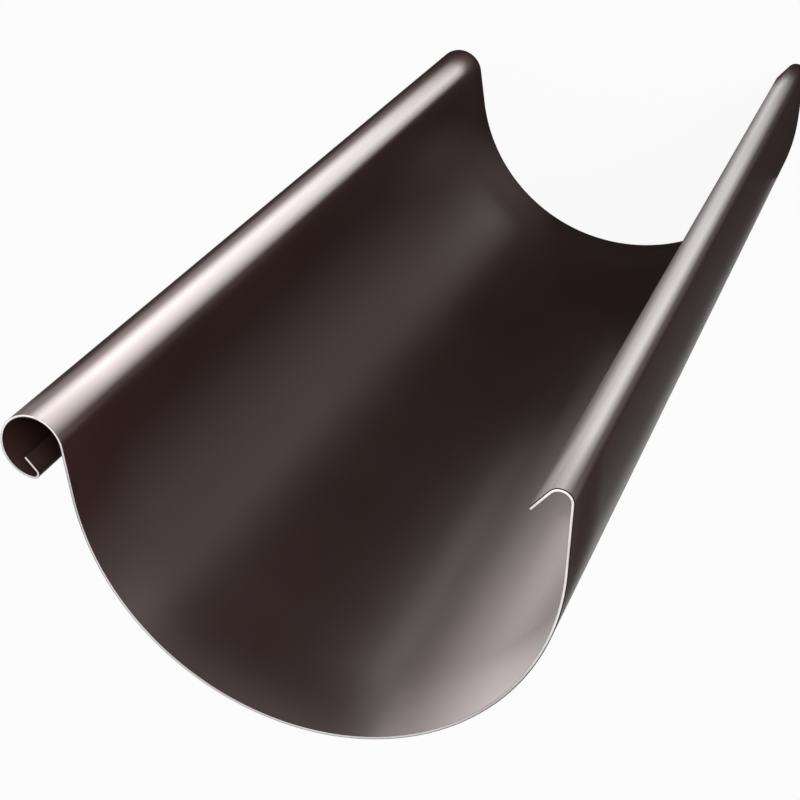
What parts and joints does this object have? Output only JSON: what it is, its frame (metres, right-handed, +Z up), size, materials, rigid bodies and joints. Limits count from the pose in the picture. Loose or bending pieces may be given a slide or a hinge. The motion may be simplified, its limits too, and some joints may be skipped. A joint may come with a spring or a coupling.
{
  "type": "half-round gutter section",
  "caption": "Half-round roof gutter section of coated sheet steel, open at both ends, with a rolled bead on its front edge and a folded lip on its taller back wall.",
  "frame": {"origin": "on the floor, under the middle of the box of the gutter, which stands on one cut end", "axes": "+Z up along the gutter; -Y the way the open side faces, which is up when it is installed; +X from the taller back wall to the beaded front edge"},
  "size_m": [0.145, 0.0846, 0.336],
  "materials": {
    "coated_steel": "gloss dark brown coil coating"
  },
  "bodies": {
    "root": {"gutter": "coated_steel"}
  },
  "joints": []
}
